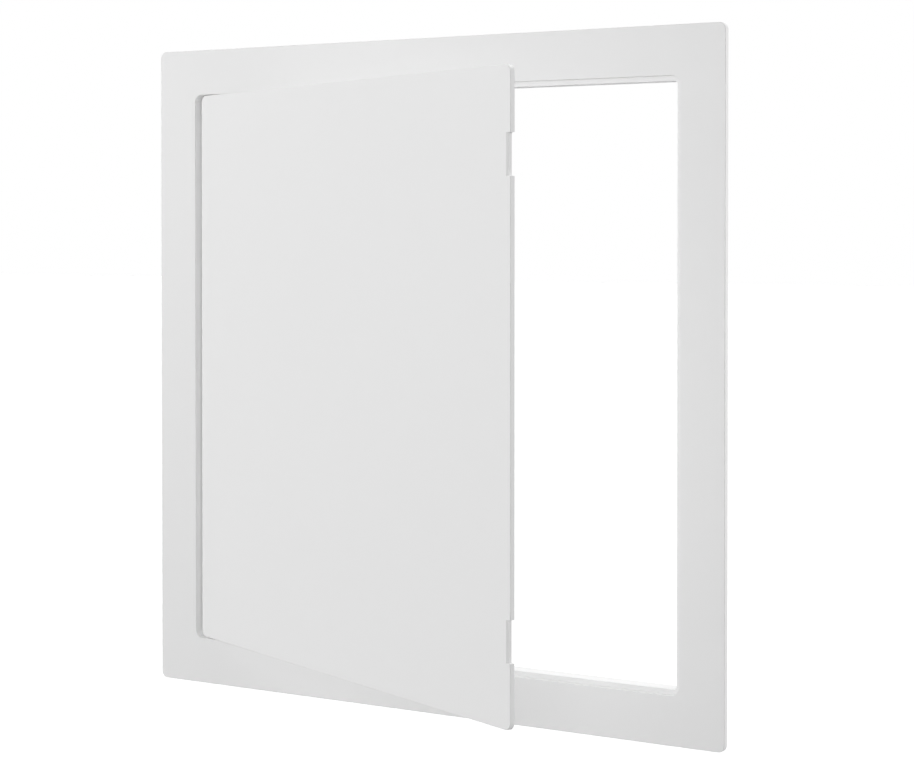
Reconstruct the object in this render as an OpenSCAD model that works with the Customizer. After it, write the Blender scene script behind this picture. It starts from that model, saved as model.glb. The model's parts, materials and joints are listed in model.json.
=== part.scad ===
// Flush ceiling access panel: a moulded frame, a hinged door that lifts out on a sprung
// pivot, and two snap latches behind the door. Lengths in millimetres, angles in degrees.
// X runs to the right, Y into the ceiling void and Z up, as the panel stands in the photograph.
// The origin is the middle of the opening, on the plane where the flange meets the ceiling.

/* [Frame] */
// Clear opening inside the collar
clear_open = 301; // [260:1:450]
// Wall thickness of the collar, whose front edge is the door stop
stop_w = 2.5; // [2.25:0.25:4]
// Thickness of the door stop ledge
stop_t = 2.5; // [2:0.25:4]
// Width of the face flange, from the door rebate to the outer edge
flange_w = 25; // [18:1:40]
// Thickness of the face flange
flange_t = 3; // [2.75:0.25:4]
// Corner radius of the flange outline
flange_r = 3.5; // [2:0.5:8]
// Corner radius of the door rebate
rebate_r = 4.5; // [3.5:0.5:7]
// Rounding of the visible front edges
edge_r = 0.4; // [0.2:0.1:1.2]
// Bevel round the front of the door rebate
edge_c = 0.2; // [0.1:0.1:0.8]
// Wall thickness of the door rebate
wall = 2.5; // [2:0.25:4]
// Depth of the collar behind the ceiling face
collar_depth = 10; // [9.5:0.5:20]
// Diameter of the fixing screw holes
fix_d = 4; // [3:0.5:4.5]
// Distance between the two fixing holes in a collar wall
fix_pitch = 200; // [120:10:220]
// Thickness of the gussets behind the door stop
gusset_t = 1.6; // [1.2:0.2:2.4]

/* [Door] */
// Thickness of the door plate
door_t = 2.5; // [2.25:0.25:3.5]
// Gap round the free sides of the door
door_gap = 0.4; // [0.3:0.05:1.5]
// Corner radius of the door
door_r = 4; // [2:0.5:6]
// Gap between the closed door and its stop
rest_gap = 0.3; // [0.2:0.1:0.6]
// Opening angle of the door as shown
door_angle = 23.2; // [15:0.1:90]
// Thickness of the stiffening ribs
rib_t = 2; // [1.5:0.25:3]
// Height of the stiffening ribs
rib_h = 4; // [2:0.5:5]
// Distance of the rim rib from the door edge
rib_in = 10; // [8:0.5:14]
// Half the spacing of the cross ribs
rib_pitch = 50; // [35:5:60]
// Length of the finger notches in the free edge
notch_l = 20; // [14:1:26]
// Depth of the finger notches
notch_d = 2.25; // [1:0.25:2.5]
// Bevel on the front of the finger notches
notch_bevel = 0.9; // [0.4:0.1:1.2]
// Distance from the door ends to the middle of the notches
notch_in = 41; // [30:1:60]

/* [Pivots] */
// Distance of the hinge axis from the hinge edge of the door
pivot_in = 10; // [9:0.5:14]
// Distance of the hinge axis behind the door plate
pivot_back = 4.5; // [4.3:0.1:5]
// Clearance of the hinge edge from the frame as the door swings
swing_clear = 0.6; // [0.4:0.1:1.2]
// Diameter of the pivot pins
pin_d = 4; // [3:0.25:4.5]
// Radial running clearance of the pins
pin_fit = 0.05; // [0.02:0.01:0.1]
// Wall of the pivot bushes
bush_wall = 1.3; // [1:0.1:1.6]
// Thickness of the bush flange
bush_flange = 0.6; // [0.4:0.1:0.6]
// Diameter of the bush flange
bush_flange_d = 8.4; // [7.8:0.1:8.4]
// Outer diameter of the pivot barrels
barrel_d = 11.5; // [10.5:0.25:12]
// Length of the lower pivot barrel
barrel_low_l = 22; // [20:1:30]
// Length of the upper pivot barrel
barrel_up_l = 38; // [36:1:50]
// Bore of the upper pivot barrel
chamber_d = 7.2; // [7:0.1:7.5]
// Length of the pin guide at the top of the upper barrel
guide_l = 6; // [5:0.5:8]
// Travel of the sprung pivot pin
pin_travel = 5; // [4.75:0.25:6]
// Wire diameter of the pivot spring
pivot_wire = 0.7; // [0.4:0.05:0.8]
// Number of coils of the pivot spring
pivot_coils = 9; // [6:1:11]

/* [Latches] */
// Distance of the latches from the free edge of the door
latch_in = 52; // [45:1:80]
// Width of the latch bolts
bolt_w = 14; // [10:0.5:16]
// Thickness of the latch bolts
bolt_t = 5.5; // [5:0.25:7]
// Length of the latch bolts
bolt_l = 24; // [22:0.5:30]
// Overlap of the bolt nose behind the collar
bolt_reach = 2.2; // [1.2:0.1:2.2]
// Travel of the latch bolts
bolt_travel = 4; // [3.25:0.25:5]
// Sliding clearance round the latch bolts
slide_fit = 0.3; // [0.2:0.05:0.4]
// Wall thickness of the latch housings
seat_wall = 2.5; // [2:0.25:3.5]
// Thickness of the latch covers
cover_t = 1.6; // [1.2:0.2:2.4]
// Width of the thumb lug on the bolts
lug_w = 6; // [4:0.5:8]
// Length of the thumb lug on the bolts
lug_l = 5; // [4:0.5:6]
// Height of the thumb lug above the cover
lug_h = 2; // [1:0.25:3]
// Distance of the thumb lug from the tail of the bolts
lug_from = 10; // [9:0.5:12]
// Wire diameter of the latch springs
latch_wire = 0.45; // [0.3:0.05:0.5]
// Number of coils of the latch springs
latch_coils = 10; // [6:1:12]
// Height of the screw posts on the door
post_h = 4; // [3:0.25:4.5]
// Shank diameter of the screws
screw_d = 2.8; // [2.2:0.1:3]
// Head diameter of the screws
screw_head_d = 5.6; // [5:0.1:6]

/* [Hidden] */
$fn = 48;
rebate = clear_open + 2 * stop_w;
overall = rebate + 2 * flange_w;
half = rebate / 2;
stop_in = clear_open / 2;
stop_r = max(rebate_r - stop_w, 0.5);

// Door plate, closed: front flush with the flange
door_front = -flange_t;
door_back = door_front + door_t;
stop_front = door_back + rest_gap;
stop_back = stop_front + stop_t;
axis_y = door_back + pivot_back;
swing_r = sqrt(pow(pivot_in, 2) + pow(door_t + pivot_back, 2));
hinge_gap = swing_r - pivot_in + swing_clear;
door_left = -half + hinge_gap;
door_right = half - door_gap;
door_w = door_right - door_left;
door_h = rebate - 2 * door_gap;
door_mid = (door_left + door_right) / 2;
axis_x = door_left + pivot_in;
stop_left = axis_x + barrel_d / 2 + 0.5;
fix_sink_d = fix_d + 1.5;
fix_y = collar_depth - fix_sink_d / 2 - 0.85;
notch_z = door_h / 2 - notch_in;
// Room left in the ribs round the barrels and housings
rib_room = 0.5;

// Pivots
pin_end = half + wall - 0.2;
bush_bore = pin_d / 2 + pin_fit;
bush_r = bush_bore + bush_wall;
// Outer ends of the barrels, clear of the bush flanges
top = half - bush_flange - 0.65;
pin_shoulder = top - guide_l - 0.3;
pin_collar_d = chamber_d - 0.6;
pin_collar_l = 4;
spring_top = pin_shoulder - pin_collar_l;
// Stem of the sprung pin, inside its spring
stem_r = 0.35 * pin_d;
stem_l = 2 * pin_travel;
cap_top = top - barrel_up_l + 5;
cap_rim = 1.5;
tab_t = 3;
tab_z = pin_shoulder - pin_collar_l / 2;
low_depth = barrel_low_l - 4;
post_top = door_back + post_h;
ear_d = screw_head_d + 2;
ear_t = 2.5;
ear_x = axis_x + barrel_d / 2 + ear_d / 2 + 1.5;
up_z = [top - 6, top - barrel_up_l + 7];
low_z = [-top + 6, -top + barrel_low_l - 5];

// Latches, in the closed door, for the upper one
latch_x = door_right - latch_in;
bolt_front = collar_depth + slide_fit;
bolt_back = bolt_front + bolt_t;
bolt_mid = bolt_front + bolt_t / 2;
bolt_tip = stop_in + bolt_reach;
bolt_tail = bolt_tip - bolt_l;
seat_top = bolt_back + slide_fit;
seat_out = stop_in - 0.8;
seat_end = bolt_tail - bolt_travel - 6;
seat_in = seat_end - seat_wall;
chan_w = bolt_w + 2 * slide_fit;
seat_w = chan_w + 2 * seat_wall;
post_x = seat_w / 2 + ear_d / 2 - 1;
post_z = (seat_in + seat_out) / 2;
cover_top = seat_top + cover_t;
lug_out = bolt_tail + lug_from;
lug_in = lug_out - lug_l;
spring_bore_d = bolt_t - 2;
spring_depth = 9;
latch_spring_d = spring_bore_d - 0.5;

// A flat outline with rounded corners
module rounded(w, h, r) {
  square([w - 2 * r, h], center = true);
  square([w, h - 2 * r], center = true);
  for (sx = [-1, 1], sz = [-1, 1])
    translate([sx * (w / 2 - r), sz * (h / 2 - r)])
      circle(r);
}

// An outline in X and Z, given depth from y0 to y1
module slab(y0, y1) {
  translate([0, y1, 0])
    rotate([90, 0, 0])
      linear_extrude(y1 - y0)
        children();
}

// A round bar along Y from y0 to y1
module bar_y(r, y0, y1) {
  translate([0, y1, 0])
    rotate([90, 0, 0])
      cylinder(r = r, h = y1 - y0);
}

// A round bar along Z from z0 to z1
module bar_z(r, z0, z1) {
  translate([0, 0, z0])
    cylinder(r = r, h = z1 - z0);
}

// A plate with its front edge rounded, front face at y = 0
module soft_plate(w, h, r, t, b) {
  slab(b, t)
    rounded(w, h, r);
  slab(0, t)
    rounded(w - 2 * b, h - 2 * b, r - b);
  for (sx = [-1, 1])
    translate([sx * (w / 2 - b), b, 0])
      cylinder(r = b, h = h - 2 * r, center = true);
  for (sz = [-1, 1])
    translate([0, b, sz * (h / 2 - b)])
      rotate([0, 90, 0])
        cylinder(r = b, h = w - 2 * r, center = true);
  for (sx = [-1, 1], sz = [-1, 1])
    translate([sx * (w / 2 - r), b, sz * (h / 2 - r)])
      rotate([90, 0, 0])
        rotate_extrude()
          translate([r - b, 0])
            circle(b);
}

// Carries a piece of the closed door to the opening angle shown
module on_door() {
  translate([axis_x, axis_y, 0])
    rotate([0, 0, -door_angle])
      translate([-axis_x, -axis_y, 0])
        children();
}

// A wound wire with closed ends, standing on z = 0
function coil_height(t, n, l, d) =
  let (e = d * 1.04, u = (l - d - 2 * e) / (n - 2))
    t < 1 ? t * e : t > n - 1 ? l - d - (n - t) * e : e + (t - 1) * u;

module coil(l, outer_d, d, n) {
  steps = 14;
  sides = 6;
  count = n * steps;
  points = [
    for (i = [0 : count], j = [0 : sides - 1])
      let (
        t = i / steps,
        rad = outer_d / 2 - d / 2 + d / 2 * cos(j * 360 / sides),
        z = d / 2 + coil_height(t, n, l, d) + d / 2 * sin(j * 360 / sides)
      )
        [rad * cos(t * 360), rad * sin(t * 360), z]
  ];
  sleeve = [
    for (i = [0 : count - 1], j = [0 : sides - 1])
      let (k = (j + 1) % sides)
        [i * sides + j, i * sides + k, (i + 1) * sides + k, (i + 1) * sides + j]
  ];
  first_end = [for (j = [sides - 1 : -1 : 0]) j];
  last_end = [for (j = [0 : sides - 1]) count * sides + j];
  polyhedron(points = points, faces = concat(sleeve, [first_end], [last_end]));
}

// Gussets that brace the stop from outside, for the stop along the right side
module gussets() {
  for (i = [-2 : 2])
    translate([0, 0, i * fix_pitch / 5 - gusset_t / 2])
      linear_extrude(gusset_t)
        polygon([
          [half - 0.5, stop_back - 0.5],
          [half + wall, stop_back - 0.5],
          [half + wall, stop_back],
          [half, collar_depth - 1],
          [half - 0.5, collar_depth - 1],
        ]);
}

// Ring between two rounded outlines, from y0 to y1
module ring(inner, inner_r, outer, outer_r, y0, y1) {
  difference() {
    slab(y0, y1)
      rounded(outer, outer, outer_r);
    slab(y0 - 1, y1 + 1)
      rounded(inner, inner, inner_r);
  }
}

// Bevel cut round the front of the door rebate
module rebate_bevel() {
  corner = half - rebate_r;
  for (a = [0 : 90 : 270])
    rotate([0, a, 0]) {
      translate([0, 0, -corner])
        linear_extrude(2 * corner)
          polygon([
            [half - 1, -flange_t - 0.5],
            [half + edge_c + 0.5, -flange_t - 0.5],
            [half, -flange_t + edge_c],
            [half - 1, -flange_t + edge_c],
          ]);
      translate([corner, -flange_t - 0.5, corner])
        rotate([-90, 0, 0])
          cylinder(r1 = rebate_r + edge_c + 0.5, r2 = rebate_r, h = edge_c + 0.5);
    }
}

// Space round the hinge edge where the stop is left out, so that the edge can swing back
module hinge_zone(x_end) {
  translate([-overall, stop_front - 1, -overall])
    cube([overall + x_end, overall, 2 * overall]);
}

// Fixing hole through a collar wall, countersunk from inside the opening
module fix_hole(x, turn, z) {
  translate([x, fix_y, z])
    rotate([0, turn, 0]) {
      translate([0, 0, -1])
        cylinder(d = fix_d, h = 4 * wall);
      translate([0, 0, -0.5])
        cylinder(d1 = fix_sink_d, d2 = fix_d, h = 1.75);
    }
}

// One piece moulding: face flange, door rebate, stop and collar
module frame() {
  color("white")
    difference() {
      union() {
        difference() {
          translate([0, -flange_t, 0])
            soft_plate(overall, overall, flange_r, flange_t, edge_r);
          slab(-flange_t - 1, 1)
            rounded(rebate, rebate, rebate_r);
          rebate_bevel();
        }
        ring(rebate, rebate_r, rebate + 2 * wall, rebate_r + wall, -flange_t / 2, stop_back);
        difference() {
          union() {
            ring(clear_open, stop_r, rebate, rebate_r, stop_front, collar_depth);
            ring(clear_open, stop_r, rebate + 1, rebate_r + 0.5, stop_front, stop_back);
            gussets();
            for (s = [-1, 1])
              rotate([0, s * 90, 0])
                gussets();
          }
          hinge_zone(stop_left);
        }
        intersection() {
          ring(rebate, rebate_r, rebate + 2 * wall, rebate_r + wall, -flange_t / 2, collar_depth);
          hinge_zone(stop_left + wall);
        }
        for (s = [-1, 1])
          translate([stop_left, stop_front, s > 0 ? stop_in : -half - wall])
            cube([wall, collar_depth - stop_front, stop_w + wall]);
      }
      for (s = [-1, 1])
        translate([axis_x, axis_y, s * half])
          cylinder(r = bush_r + 0.03, h = 4 * wall, center = true);
      for (sz = [-1, 1]) {
        fix_hole(stop_in, 90, sz * fix_pitch / 2);
        fix_hole(-half, -90, sz * fix_pitch / 2);
      }
    }
}

// Flanged bush that lines a pivot hole in the frame
module pivot_bush() {
  color("ivory")
    translate([axis_x, axis_y, 0])
      difference() {
        union() {
          bar_z(bush_flange_d / 2, half - bush_flange, half);
          bar_z(bush_r, half - bush_flange / 2, half + wall);
        }
        bar_z(bush_bore, half - 2, half + wall + 1);
      }
}

module pivot_bush_upper() {
  pivot_bush();
}

module pivot_bush_lower() {
  mirror([0, 0, 1])
    pivot_bush();
}

// Footprint of a latch housing in the plane of the door, for the upper latch
module latch_base() {
  translate([latch_x - seat_w / 2, seat_in])
    square([seat_w, seat_out - seat_in]);
}

module latch_ears() {
  for (s = [-1, 1])
    translate([latch_x + s * post_x, post_z])
      circle(d = ear_d);
}

// Ears that reach from a pivot barrel to its screws
module bracket_ears(places) {
  for (z = places) {
    translate([ear_x, z])
      circle(d = ear_d);
    translate([axis_x, z - ear_d / 2])
      square([ear_x - axis_x, ear_d]);
  }
}

module bracket_posts(places) {
  for (z = places)
    translate([ear_x, z])
      circle(d = ear_d);
}

// Moulded door plate with finger notches, stiffening ribs and screw posts
module door_closed() {
  difference() {
    union() {
      difference() {
        translate([door_mid, door_front, 0])
          soft_plate(door_w, door_h, door_r, door_t, edge_r);
        for (s = [-1, 1])
          translate([door_right, 0, s * notch_z]) {
            slab(door_front - 1, door_back + 1)
              rounded(2 * notch_d, notch_l, min(1, notch_d / 2));
            translate([-notch_d, door_front, -notch_l / 2])
              linear_extrude(notch_l)
                polygon([[-notch_bevel, 0], [0.5, -0.5], [0.5, notch_bevel + 0.5], [0, notch_bevel]]);
          }
      }
      difference() {
        union() {
          translate([door_mid, 0, 0])
            ring_rib();
          for (s = [-1, 1]) {
            translate([door_mid + s * rib_pitch - rib_t / 2, door_back - 0.5, rib_in + rib_t / 2 - door_h / 2])
              cube([rib_t, rib_h + 0.5, door_h - 2 * rib_in - rib_t]);
            translate([door_left + rib_in + rib_t / 2, door_back - 0.5, s * rib_pitch - rib_t / 2])
              cube([door_w - 2 * rib_in - rib_t, rib_h + 0.5, rib_t]);
          }
          slab(door_back - 0.5, post_top) {
            latch_ears();
            mirror([0, 1])
              latch_ears();
            bracket_posts(up_z);
            bracket_posts(low_z);
          }
        }
        for (s = [0, 1])
          mirror([0, 0, s])
            translate([latch_x - seat_w / 2 - rib_room, door_back, seat_in - rib_room])
              cube([seat_w + 2 * rib_room, rib_h + post_h, seat_out - seat_in + 2 * rib_room]);
        translate([axis_x - barrel_d / 2 - rib_room, door_back, top - barrel_up_l - cap_rim - rib_room])
          cube([barrel_d + 2 * rib_room, rib_h + post_h, barrel_up_l + cap_rim + 2 * rib_room]);
        translate([axis_x - barrel_d / 2 - rib_room, door_back, -top - rib_room])
          cube([barrel_d + 2 * rib_room, rib_h + post_h, barrel_low_l + 2 * rib_room]);
      }
    }
    for (s = [-1, 1]) {
      for (e = [-1, 1])
        translate([latch_x + e * post_x, 0, s * post_z])
          bar_y(screw_d / 2 + 0.05, door_back - 0.2, post_top + 1);
    }
    for (z = concat(up_z, low_z))
      translate([ear_x, 0, z])
        bar_y(screw_d / 2 + 0.05, door_back - 0.2, post_top + 1);
  }
}

// Rib that runs round the back of the door
module ring_rib() {
  difference() {
    slab(door_back - 0.5, door_back + rib_h)
      rounded(door_w - 2 * rib_in, door_h - 2 * rib_in, 3);
    slab(door_back - 1, door_back + rib_h + 1)
      rounded(door_w - 2 * rib_in - 2 * rib_t, door_h - 2 * rib_in - 2 * rib_t, 1);
  }
}

module door() {
  color("whitesmoke")
    on_door()
      door_closed();
}

// Barrel with screwed ears, flat where it lies on the door
module pivot_bracket(z0, z1, places) {
  intersection() {
    translate([axis_x, axis_y, 0])
      bar_z(barrel_d / 2, z0, z1);
    translate([-overall, door_back, -overall])
      cube(2 * overall);
  }
  difference() {
    slab(post_top, post_top + ear_t)
      bracket_ears(places);
    for (z = places)
      translate([ear_x, 0, z])
        bar_y(screw_d / 2 + 0.2, post_top - 1, post_top + ear_t + 1);
  }
}

module pivot_bracket_upper() {
  color("white")
    on_door()
      difference() {
        pivot_bracket(top - barrel_up_l, top, up_z);
        translate([axis_x, axis_y, 0]) {
          bar_z(bush_bore, top - guide_l - 1, top + 1);
          bar_z(chamber_d / 2, top - barrel_up_l - 1, top - guide_l);
          translate([-tab_t / 2 - 0.3, 0, tab_z - tab_t / 2 - pin_travel - 0.4])
            cube([tab_t + 0.6, barrel_d, tab_t + pin_travel + 0.8]);
        }
      }
}

module pivot_bracket_lower() {
  color("white")
    on_door()
      difference() {
        pivot_bracket(-top, -top + barrel_low_l, low_z);
        translate([axis_x, axis_y, 0])
          bar_z(bush_bore, -top - 1, -top + low_depth);
      }
}

// A cross-head screw along Y, with the underside of its head at y1
module screw(y0, y1) {
  difference() {
    union() {
      bar_y(screw_d / 2, y0, y1 + 0.5);
      bar_y(screw_head_d / 2, y1, y1 + 1.4);
      translate([0, y1 + 1.4, 0])
        rotate([-90, 0, 0])
          cylinder(d1 = screw_head_d, d2 = 0.7 * screw_head_d, h = 0.5);
    }
    for (a = [45, 135])
      translate([0, y1 + 1.6, 0])
        rotate([0, a, 0])
          cube([0.55 * screw_head_d, 1.6, 0.7], center = true);
  }
}

module pivot_bracket_screws() {
  color("silver")
    on_door()
      for (z = concat(up_z, low_z))
        translate([ear_x, 0, z])
          screw(door_back + 0.1, post_top + ear_t);
}

// Steel pin that drops out of its bush against a spring
module pivot_pin_upper() {
  color("silver")
    on_door()
      translate([axis_x, axis_y, 0])
        difference() {
          union() {
            bar_z(pin_d / 2, pin_shoulder - 0.5, pin_end - 0.5);
            translate([0, 0, pin_end - 0.5])
              cylinder(d1 = pin_d, d2 = pin_d - 1, h = 0.5);
            bar_z(pin_collar_d / 2, spring_top, pin_shoulder);
            bar_z(stem_r, spring_top - stem_l, spring_top + 0.5);
          }
          translate([-tab_t / 2 - 0.05, 1.2, tab_z - tab_t / 2 - 0.05])
            cube([tab_t + 0.1, pin_collar_d, tab_t + 0.1]);
        }
}

// Steel pin fixed in the lower barrel
module pivot_pin_lower() {
  color("silver")
    on_door()
      translate([axis_x, axis_y, 0]) {
        bar_z(pin_d / 2, -pin_end + 0.5, -top + low_depth - 0.1);
        translate([0, 0, -pin_end])
          cylinder(d1 = pin_d - 1, d2 = pin_d, h = 0.5);
      }
}

// Ridged thumb tab that pulls the upper pin down
module pivot_release_tab() {
  color("gainsboro")
    on_door()
      translate([axis_x, axis_y, tab_z]) {
        translate([-tab_t / 2, 1.3, -tab_t / 2])
          cube([tab_t, barrel_d / 2 + 0.5, tab_t]);
        translate([-5, barrel_d / 2 + 0.4, -3.5])
          cube([10, 1.8, 7]);
        for (z = [-2.4, 0, 2.4])
          translate([-4, barrel_d / 2 + 2, z])
            rotate([0, 90, 0])
              cylinder(r = 0.6, h = 8);
      }
}

module pivot_spring() {
  color("lightgray")
    on_door()
      translate([axis_x, axis_y, cap_top + 0.05])
        coil(spring_top - cap_top - 0.1, chamber_d - 0.8, pivot_wire, pivot_coils);
}

// Plug that closes the upper barrel and seats the spring
module pivot_end_cap() {
  color("gainsboro")
    on_door()
      translate([axis_x, axis_y, 0]) {
        bar_z(chamber_d / 2 - 0.05, top - barrel_up_l - 0.5, cap_top);
        intersection() {
          bar_z(barrel_d / 2, top - barrel_up_l - cap_rim, top - barrel_up_l);
          translate([-barrel_d, door_back - axis_y + 0.1, -overall])
            cube(2 * overall);
        }
      }
}

// Places a latch piece at the top of the door, or mirrored at the bottom
module at_latch(s) {
  on_door()
    mirror([0, 0, s > 0 ? 0 : 1])
      children();
}

// Hollow tower that guides a bolt behind the collar
module latch_housing(s) {
  color("white")
    at_latch(s) {
      difference() {
        union() {
          slab(door_back, seat_top)
            latch_base();
          slab(post_top, seat_top)
            latch_ears();
        }
        translate([latch_x - chan_w / 2, bolt_front - slide_fit, seat_end])
          cube([chan_w, bolt_t + 4, seat_out]);
        translate([latch_x - chan_w / 2 + 2, door_back - 1, seat_end])
          cube([chan_w - 4, collar_depth, seat_out - seat_end - seat_wall]);
        for (e = [-1, 1])
          translate([latch_x + e * post_x, 0, post_z])
            bar_y(screw_d / 2 + 0.2, post_top - 1, seat_top + 1);
      }
      translate([latch_x, bolt_mid, seat_end - 0.5])
        cylinder(r = latch_spring_d / 2 - latch_wire - 0.25, h = 3.5);
    }
}

module latch_housing_upper() {
  latch_housing(1);
}

module latch_housing_lower() {
  latch_housing(-1);
}

// Sprung bolt with a nose bevelled on both faces and a thumb lug
module latch_bolt(s) {
  color("ivory")
    at_latch(s)
      difference() {
        union() {
          translate([latch_x + bolt_w / 2, 0, 0])
            rotate([0, -90, 0])
              linear_extrude(bolt_w)
                polygon([
                  [bolt_tail, bolt_front],
                  [stop_in - 0.2, bolt_front],
                  [bolt_tip, bolt_front + 0.36 * bolt_t],
                  [bolt_tip, bolt_front + 0.46 * bolt_t],
                  [stop_in - 2.2, bolt_back],
                  [bolt_tail, bolt_back],
                ]);
          translate([latch_x - lug_w / 2, bolt_back - 0.5, lug_in])
            cube([lug_w, 0.5 + slide_fit + cover_t + lug_h, lug_l]);
        }
        translate([latch_x, bolt_mid, bolt_tail - 1])
          cylinder(d = spring_bore_d, h = spring_depth + 1);
      }
}

module latch_bolt_upper() {
  latch_bolt(1);
}

module latch_bolt_lower() {
  latch_bolt(-1);
}

module latch_spring(s) {
  color("lightgray")
    at_latch(s)
      translate([latch_x, bolt_mid, seat_end + 0.05])
        coil(bolt_tail + spring_depth - seat_end - 0.1, latch_spring_d, latch_wire, latch_coils);
}

module latch_spring_upper() {
  latch_spring(1);
}

module latch_spring_lower() {
  latch_spring(-1);
}

// Plate that holds a bolt in its housing, slotted for the thumb lug
module latch_cover(s) {
  color("gainsboro")
    at_latch(s)
      difference() {
        slab(seat_top, cover_top) {
          latch_base();
          latch_ears();
        }
        translate([latch_x - lug_w / 2 - slide_fit, seat_top - 1, lug_in - bolt_travel - slide_fit])
          cube([lug_w + 2 * slide_fit, cover_t + 2, lug_l + bolt_travel + 2 * slide_fit]);
        for (e = [-1, 1])
          translate([latch_x + e * post_x, 0, post_z])
            bar_y(screw_d / 2 + 0.2, seat_top - 1, cover_top + 1);
      }
}

module latch_cover_upper() {
  latch_cover(1);
}

module latch_cover_lower() {
  latch_cover(-1);
}

// Two long screws that hold a cover and its housing to the door
module latch_screws(s) {
  color("silver")
    at_latch(s)
      for (e = [-1, 1])
        translate([latch_x + e * post_x, 0, post_z])
          screw(door_back + 0.1, cover_top);
}

module latch_screws_upper() {
  latch_screws(1);
}

module latch_screws_lower() {
  latch_screws(-1);
}

frame();
pivot_bush_upper();
pivot_bush_lower();
door();
pivot_bracket_upper();
pivot_bracket_lower();
pivot_bracket_screws();
pivot_pin_upper();
pivot_pin_lower();
pivot_release_tab();
pivot_spring();
pivot_end_cap();
latch_housing_upper();
latch_housing_lower();
latch_bolt_upper();
latch_bolt_lower();
latch_spring_upper();
latch_spring_lower();
latch_cover_upper();
latch_cover_lower();
latch_screws_upper();
latch_screws_lower();
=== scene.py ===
"""A white moulded access panel for a ceiling or wall, standing upright with its door part open.

The pieces follow the order in which the panel is put together: frame, bushes, door, pivots, latches.
"""
import json
import math

import bpy
import numpy as np
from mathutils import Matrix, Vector


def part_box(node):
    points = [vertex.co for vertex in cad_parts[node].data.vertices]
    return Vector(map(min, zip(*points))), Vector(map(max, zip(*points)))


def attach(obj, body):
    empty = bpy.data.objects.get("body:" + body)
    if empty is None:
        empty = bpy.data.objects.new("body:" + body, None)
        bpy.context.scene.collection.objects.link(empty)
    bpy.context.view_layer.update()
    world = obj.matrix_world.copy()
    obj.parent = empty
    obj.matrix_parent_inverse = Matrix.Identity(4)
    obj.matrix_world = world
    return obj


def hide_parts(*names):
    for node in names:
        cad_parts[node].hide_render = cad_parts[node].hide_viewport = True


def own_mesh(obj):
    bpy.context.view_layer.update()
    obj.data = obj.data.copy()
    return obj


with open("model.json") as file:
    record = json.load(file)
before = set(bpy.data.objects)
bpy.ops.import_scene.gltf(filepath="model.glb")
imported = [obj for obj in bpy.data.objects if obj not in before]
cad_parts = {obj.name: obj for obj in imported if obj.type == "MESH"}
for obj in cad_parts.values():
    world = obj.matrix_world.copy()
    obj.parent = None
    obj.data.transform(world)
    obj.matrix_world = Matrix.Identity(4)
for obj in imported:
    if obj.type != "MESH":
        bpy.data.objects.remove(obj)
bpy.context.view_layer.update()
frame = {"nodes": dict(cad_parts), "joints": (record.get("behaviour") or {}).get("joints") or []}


# Frame: one white moulding with a fine satin grain from the tool, which goes into the cut-out
# and is screwed through its side walls. The back of its flange keeps the round marks of the
# ejector pins, which the front never shows.
joints = {joint["name"]: joint for joint in frame["joints"]}


def feed(tree, node, values, sources):
    """Sets inputs of a shader node: some to typed values, some from the outputs of other nodes."""
    for name, value in values.items():
        node.inputs[name].default_value = value
    for name, source in sources.items():
        tree.links.new(source, node.inputs[name])


def add(tree, kind, values, sources, **settings):
    """Adds a shader node and gives its outputs. Settings come first: they decide its inputs."""
    node = tree.nodes.new(kind)
    for name, setting in settings.items():
        setattr(node, name, setting)
    feed(tree, node, values, sources)
    return node.outputs


def new_finish(name):
    """Starts a material: gives it, its node tree, its shader and its Object coordinates."""
    finish = bpy.data.materials.new(name)
    finish.use_nodes = True
    tree = finish.node_tree
    place = add(tree, "ShaderNodeTexCoord", {}, {})["Object"]
    return finish, tree, tree.nodes["Principled BSDF"], place


def two_tones(tree, share, first, second):
    """Mixes two colours by the share of the second one."""
    colours = {"A": (*first, 1), "B": (*second, 1)}
    return add(tree, "ShaderNodeMix", colours, {"Factor": share}, data_type="RGBA")["Result"]


def dress(finish, *nodes):
    """Gives CAD nodes a finish in place of their plain colour."""
    for node in nodes:
        frame["nodes"][node].data.materials.clear()
        frame["nodes"][node].data.materials.append(finish)


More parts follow.
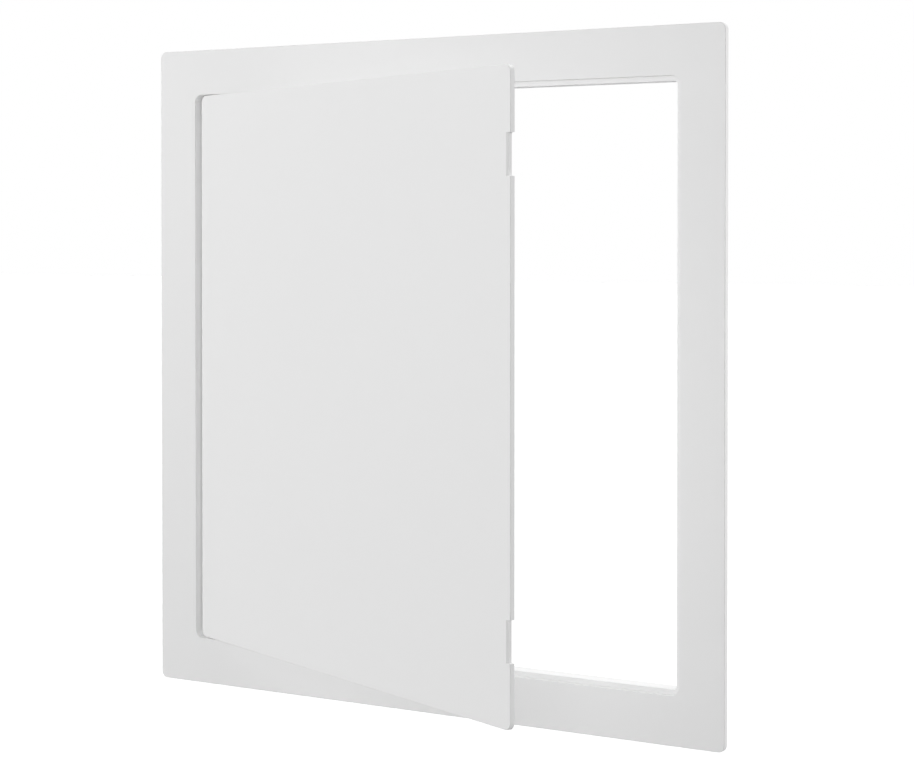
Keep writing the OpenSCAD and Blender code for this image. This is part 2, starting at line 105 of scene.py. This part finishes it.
def white_moulding(name, pale, deep, turn=0.0, back=1.0, pitch=0.05):
    """White plastic with a satin grain and round ejector marks on the back.

    Slow noise mixes two whites and changes the sheen; fine noise makes the grain. The marks are
    discs on a square grid of the given pitch, which is turned about the hinge. They are sunk
    where the turned depth passes back. The usual depth lies behind every piece: no marks.
    """
    finish, tree, shader, place = new_finish(name)
    cloud = add(tree, "ShaderNodeTexNoise", {"Scale": 7.0, "Detail": 4.0}, {"Vector": place})["Fac"]
    sheen = add(tree, "ShaderNodeMapRange", {"To Min": 0.42, "To Max": 0.55}, {"Value": cloud})
    grain = add(tree, "ShaderNodeTexNoise", {"Scale": 1600.0, "Detail": 2.0}, {"Vector": place})
    satin = {"Strength": 0.12, "Distance": 0.00005}
    fine = add(tree, "ShaderNodeBump", satin, {"Height": grain["Fac"]})

    hinge = {"Center": joints["door_hinge"]["pos_m"], "Angle": turn}
    swing = add(tree, "ShaderNodeVectorRotate", hinge, {"Vector": place}, rotation_type="Z_AXIS")
    axes = add(tree, "ShaderNodeSeparateXYZ", {}, {"Vector": swing["Vector"]})
    half = {1: pitch / 2, 2: -pitch / 2}
    cell = {
        axis: add(tree, "ShaderNodeMath", half, {0: axes[axis]}, operation="WRAP")["Value"]
        for axis in ("X", "Z")
    }
    spot = add(tree, "ShaderNodeCombineXYZ", {}, cell)
    reach = add(tree, "ShaderNodeVectorMath", {}, {0: spot["Vector"]}, operation="LENGTH")
    mark_radius = 0.0035
    mark_edge = 0.0002
    fall = {"From Min": mark_radius, "From Max": mark_radius + mark_edge, "To Min": 1.0, "To Max": 0.0}
    disc = add(tree, "ShaderNodeMapRange", fall, {"Value": reach["Value"]})
    behind = add(tree, "ShaderNodeMath", {1: back}, {0: axes["Y"]}, operation="GREATER_THAN")
    both = {0: disc["Result"], 1: behind["Value"]}
    mark = add(tree, "ShaderNodeMath", {}, both, operation="MULTIPLY")
    relief = {"Height": mark["Value"], "Normal": fine["Normal"]}
    sunk = add(tree, "ShaderNodeBump", {"Strength": 0.6, "Distance": 0.00015}, relief, invert=True)

    looks = {
        "Base Color": two_tones(tree, cloud, deep, pale),
        "Roughness": sheen["Result"],
        "Normal": sunk["Normal"],
    }
    feed(tree, shader, {"Specular IOR Level": 0.35}, looks)
    return finish


frame_white = white_moulding(
    "frame_white", (0.80, 0.80, 0.80), (0.785, 0.785, 0.785), back=-0.0005, pitch=0.0668
)
dress(frame_white, "frame")


# Bushes: natural acetal, pressed into the upper and lower walls of the frame at its hinge side.
# The plastic is a little waxy, so light enters it, and it has faint flow streaks along the
# hinge axis.
def acetal(name, colour):
    """Waxy natural plastic: noise stretched along Z mixes two creams, with a soft sheen."""
    finish, tree, shader, place = new_finish(name)
    stretch = add(tree, "ShaderNodeMapping", {"Scale": (900, 900, 120)}, {"Vector": place})
    streaks = {"Scale": 1.0, "Detail": 3.0}
    flow = add(tree, "ShaderNodeTexNoise", streaks, {"Vector": stretch["Vector"]})["Fac"]
    faint = add(tree, "ShaderNodeBump", {"Strength": 0.1, "Distance": 0.00004}, {"Height": flow})
    deep = [channel * 0.92 for channel in colour]
    wax = {"Roughness": 0.32, "Subsurface Weight": 0.15, "Subsurface Scale": 0.001}
    looks = {"Base Color": two_tones(tree, flow, deep, colour), "Normal": faint["Normal"]}
    feed(tree, shader, wax, looks)
    return finish


bush_acetal = acetal("bush_acetal", (0.80, 0.77, 0.69))
dress(bush_acetal, "pivot_bush_upper", "pivot_bush_lower")


# Door: one plate of the same white plastic, with stiffening ribs behind and two finger notches
# in its free edge. Its colour is a shade paler than the frame's. That is painted light, standing in
# for the extra light that falls on the turned door. It hangs on its two pivots. Its ejector marks
# lie between the ribs, on a grid that is turned with it.
door_open = math.radians(-joints["door_hinge"]["range_deg"][0])
# Painted light: these whites sit a shade above the frame's to copy the light on the turned door.
door_white_painted_light = white_moulding(
    "door_white_painted_light", (0.815, 0.815, 0.815), (0.805, 0.805, 0.805), door_open, back=-0.0012, pitch=0.0471
)
dress(door_white_painted_light, "door")


# Pivot brackets: small white mouldings screwed behind the hinge edge of the door. They carry
# the pins, and their barrels are moulded in one with the ears.
bracket_white = white_moulding("bracket_white", (0.80, 0.80, 0.80), (0.77, 0.77, 0.775))
dress(bracket_white, "pivot_bracket_upper", "pivot_bracket_lower")


# Screws: zinc plated steel with a cross recess, two in each bracket. The plating is a cool grey
# with slightly cloudy patches.
def bright_steel(name, colour, rough, bands):
    """Bright steel: cloudy noise changes tint and roughness, and fine bands run across Z."""
    finish, tree, shader, place = new_finish(name)
    cloud = add(tree, "ShaderNodeTexNoise", {"Scale": 420.0, "Detail": 3.0}, {"Vector": place})["Fac"]
    spread = {"To Min": rough - 0.06, "To Max": rough + 0.08}
    polish = add(tree, "ShaderNodeMapRange", spread, {"Value": cloud})
    lines = {"Scale": bands, "Distortion": 1.5}
    turned = add(tree, "ShaderNodeTexWave", lines, {"Vector": place}, bands_direction="Z")
    shallow = {"Strength": 0.12, "Distance": 0.00003}
    ridge = add(tree, "ShaderNodeBump", shallow, {"Height": turned["Fac"]})
    deep = [channel * 0.85 for channel in colour]
    looks = {
        "Base Color": two_tones(tree, cloud, deep, colour),
        "Roughness": polish["Result"],
        "Normal": ridge["Normal"],
    }
    feed(tree, shader, {"Metallic": 1.0}, looks)
    return finish


zinc = bright_steel("zinc_plate", (0.66, 0.67, 0.69), rough=0.3, bands=300.0)
dress(zinc, "pivot_bracket_screws")


# Pivot pins: bright turned steel, 4 mm thick, with fine tool lines round them. The upper one
# slides in its barrel and the lower one is fixed.
turned_steel = bright_steel("turned_steel", (0.72, 0.72, 0.72), rough=0.24, bands=900.0)
dress(turned_steel, "pivot_pin_upper", "pivot_pin_lower")


# Release tab and end cap: pale grey plastic with a fine speckle and a satin face, so that a
# hand finds the tab behind the door. The tab sits on the upper pin, and the cap closes the
# upper barrel.
def grey_moulding(name, colour):
    """Pale grey plastic: cell noise gives a fine speckle and fine noise a satin grain."""
    finish, tree, shader, place = new_finish(name)
    speck = add(tree, "ShaderNodeTexVoronoi", {"Scale": 900.0}, {"Vector": place})["Distance"]
    grain = add(tree, "ShaderNodeTexNoise", {"Scale": 1500.0}, {"Vector": place})["Fac"]
    satin = add(tree, "ShaderNodeBump", {"Strength": 0.15, "Distance": 0.00005}, {"Height": grain})
    deep = [channel * 0.9 for channel in colour]
    looks = {"Base Color": two_tones(tree, speck, colour, deep), "Normal": satin["Normal"]}
    feed(tree, shader, {"Roughness": 0.5}, looks)
    return finish


tab_grey = grey_moulding("tab_grey", (0.50, 0.51, 0.53))
dress(tab_grey, "pivot_release_tab", "pivot_end_cap")


# Pivot spring: drawn wire wound with closed ends, standing between the end cap and the collar
# of the upper pin. In the panel it shortens as the pin is pulled down; here it is built at one length.
wire_steel = bright_steel("wire_steel", (0.52, 0.52, 0.53), rough=0.28, bands=60.0)


def wound_wire(name, node, wire, turns):
    """A closed-end coil spring in place of a CAD spring, as a tube along a helix.

    The angle grows evenly along the wire. The height rises by one wire in the first and last
    turn and evenly between. Round the wire, the second parameter turns once.
    """
    low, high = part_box(node)
    length = high[2] - low[2]
    mid = ((low[0] + high[0]) / 2, (low[1] + high[1]) / 2)
    radius = min(high[0] - low[0], high[1] - low[1]) / 2 - wire / 2
    rise = length - wire
    closed_rise = wire * 1.03
    sides = 12
    steps_per_turn = 40
    steps = turns * steps_per_turn + 1
    t = np.linspace(0, turns, steps)[:, None]
    a = np.linspace(0, 2 * math.pi, sides, endpoint=False)[None, :]
    height = np.interp(t, [0, 1, turns - 1, turns], [0, closed_rise, rise - closed_rise, rise])
    r = radius + wire / 2 * np.cos(a)
    x = mid[0] + r * np.cos(2 * math.pi * t)
    y = mid[1] + r * np.sin(2 * math.pi * t)
    z = low[2] + wire / 2 + height + wire / 2 * np.sin(a)
    points = np.stack([x, y, z], -1).reshape(-1, 3)

    i, j = np.meshgrid(np.arange(steps - 1), np.arange(sides), indexing="ij")
    k = (j + 1) % sides
    tube = np.stack([i * sides + j, (i + 1) * sides + j, (i + 1) * sides + k, i * sides + k], -1)
    ends = [list(range(sides)), list(range(steps * sides - 1, (steps - 1) * sides - 1, -1))]
    mesh = bpy.data.meshes.new(name)
    mesh.from_pydata(points.tolist(), [], tube.reshape(-1, 4).tolist() + ends)
    mesh.polygons.foreach_set("use_smooth", [True] * len(mesh.polygons))
    mesh.materials.append(wire_steel)

    coil = bpy.data.objects.new(name, mesh)
    bpy.context.collection.objects.link(coil)
    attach(coil, "door_body")
    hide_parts(node)
    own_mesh(coil)


wound_wire(
    "pivot_spring_wire", "pivot_spring", wire=0.0007, turns=9
)


# Latch housings: white towers with an open channel for the bolt, one near the top and one near
# the bottom of the door. They are screwed to posts behind it, where it hides them from the
# front.
housing_white = white_moulding("housing_white", (0.79, 0.79, 0.795), (0.76, 0.76, 0.765))
dress(housing_white, "latch_housing_upper", "latch_housing_lower")


# Latch bolts: natural acetal, so that the bevelled noses slip over the collar. Each slides in
# its housing and has a thumb lug that stands through the slot of its cover.
bolt_acetal = acetal("bolt_acetal", (0.78, 0.75, 0.66))
dress(bolt_acetal, "latch_bolt_upper", "latch_bolt_lower")


# Latch springs: thin wire, inside the bolts. In the panel they shorten towards the inner end of the
# housing as the bolts are drawn back; here they are built at one length.
for end, inner in (("upper", "foot"), ("lower", "head")):
    wound_wire(
        "latch_spring_wire_" + end,
        "latch_spring_" + end,
        wire=0.00045,
        turns=10,
    )


# Latch covers and their long screws: pale grey plates, slotted for the lugs, held with the
# housings by two zinc plated screws each.
cover_grey = grey_moulding("cover_grey", (0.52, 0.53, 0.55))
dress(cover_grey, "latch_cover_upper", "latch_cover_lower")
dress(zinc, "latch_screws_upper", "latch_screws_lower")


# Floor: a wide pale plane well below the panel, which is held up by its ceiling in use.
# It takes a soft shadow. To the eye and in shiny faces it is white, with a little glow far
# away that hides its edge; as a reflector it is dimmer.
def seen_plainly(tree):
    """Gives 1 for rays from the camera, from shiny faces and through clear ones, else 0."""
    path = add(tree, "ShaderNodeLightPath", {}, {})
    direct = {0: path["Is Camera Ray"], 1: path["Is Glossy Ray"]}
    seen = add(tree, "ShaderNodeMath", {}, direct, operation="MAXIMUM")
    through = {0: seen["Value"], 1: path["Is Transmission Ray"]}
    return add(tree, "ShaderNodeMath", {}, through, operation="MAXIMUM")["Value"]


floor_reach = 20
floor_height = -0.45
corners = ((-1, -1), (1, -1), (1, 1), (-1, 1))
mesh = bpy.data.meshes.new("floor")
mesh.from_pydata(
    [(x * floor_reach, y * floor_reach, floor_height) for x, y in corners], [], [(0, 1, 2, 3)]
)
paper, tree, shader, place = new_finish("floor_paper")
seen = seen_plainly(tree)
away = add(tree, "ShaderNodeVectorMath", {}, {0: place}, operation="LENGTH")["Value"]
far_glow = {"From Min": 0.67, "From Max": 1.3, "To Max": 0.33}
far = add(tree, "ShaderNodeMapRange", far_glow, {"Value": away})["Result"]
glow = add(tree, "ShaderNodeMath", {}, {0: seen, 1: far}, operation="MULTIPLY")["Value"]
white = two_tones(tree, seen, (0.40, 0.40, 0.40), (0.92, 0.92, 0.92))
matt = {"Roughness": 1.0, "Specular IOR Level": 0.0, "Emission Color": (1, 1, 1, 1)}
feed(tree, shader, matt, {"Base Color": white, "Emission Strength": glow})
mesh.materials.append(paper)
floor = bpy.data.objects.new("floor", mesh)
bpy.context.collection.objects.link(floor)


# World: even white light from all round. Rays from the camera, from shiny faces and through
# clear ones see plain white, so the background is white without more light on the panel.
world = bpy.data.worlds.new("studio")
bpy.context.scene.world = world
world.use_nodes = True
tree = world.node_tree
even = tree.nodes["Background"]
feed(tree, even, {"Color": (1, 1, 1, 1), "Strength": 0.31}, {})
plain = add(tree, "ShaderNodeBackground", {"Color": (1, 1, 1, 1), "Strength": 1.0}, {})
lights = {"Fac": seen_plainly(tree), 1: even.outputs["Background"], 2: plain["Background"]}
chosen = add(tree, "ShaderNodeMixShader", {}, lights)
feed(tree, tree.nodes["World Output"], {}, {"Surface": chosen["Shader"]})


# Lamps: a soft light above and a little behind, which whitens the top of the collar and keeps
# upward edges calm, and one from the right and behind, which lights the back of the door.
for name, energy, spread, aim in (
    ("overhead", 1.55, 28, (0, -0.57, -0.82)),
    ("right", 0.9, 30, (-0.89, -0.38, -0.22)),
):
    lamp = bpy.data.lights.new(name, "SUN")
    lamp.energy = energy
    lamp.angle = math.radians(spread)
    sun = bpy.data.objects.new(name, lamp)
    sun.rotation_euler = Vector(aim).to_track_quat("-Z", "Y").to_euler()
    bpy.context.collection.objects.link(sun)


# Softboxes: two square lights in front and above, so that the tone falls a little from top to
# bottom. The left one only fills; the right one, near the camera, throws the soft shadow
# below the edge of the door. A small one behind picks out the outer edge at the right.
for name, power, side, spot, shadow in (
    ("left_box", 20.5, 1.0, (-1.13, -1.50, 0.62), False),
    ("right_box", 7.0, 1.0, (1.00, -2.00, 0.60), True),
    ("edge_box", 1.1, 0.3, (0.62, 0.34, 0.10), True),
):
    lamp = bpy.data.lights.new(name, "AREA")
    lamp.energy = power
    lamp.size = side
    lamp.use_shadow = shadow
    box = bpy.data.objects.new(name, lamp)
    box.location = spot
    box.rotation_euler = (-Vector(spot)).to_track_quat("-Z", "Y").to_euler()
    bpy.context.collection.objects.link(box)


# Camera: to the right of the panel and a little above its middle, with the rise of a view
# camera that keeps the uprights upright. Focal length and rise are in pixels of the picture.
picture_width = 914
focal_pixels = 2308.51
rise_pixels = -110
sensor_mm = 36.0
yaw = math.radians(-33.005)
pitch = math.radians(-0.982)
lens = bpy.data.cameras.new("camera")
lens.sensor_width = sensor_mm
lens.lens = focal_pixels * sensor_mm / picture_width
lens.shift_y = rise_pixels / picture_width
lens.clip_end = 100
camera = bpy.data.objects.new("camera", lens)
camera.location = (0.679068, -1.013446, 0.076033)
look = Vector((math.sin(yaw) * math.cos(pitch), math.cos(yaw) * math.cos(pitch), math.sin(pitch)))
camera.rotation_mode = "QUATERNION"
camera.rotation_quaternion = look.to_track_quat("-Z", "Y")
bpy.context.collection.objects.link(camera)
bpy.context.scene.camera = camera
bpy.context.scene.view_settings.view_transform = "Standard"
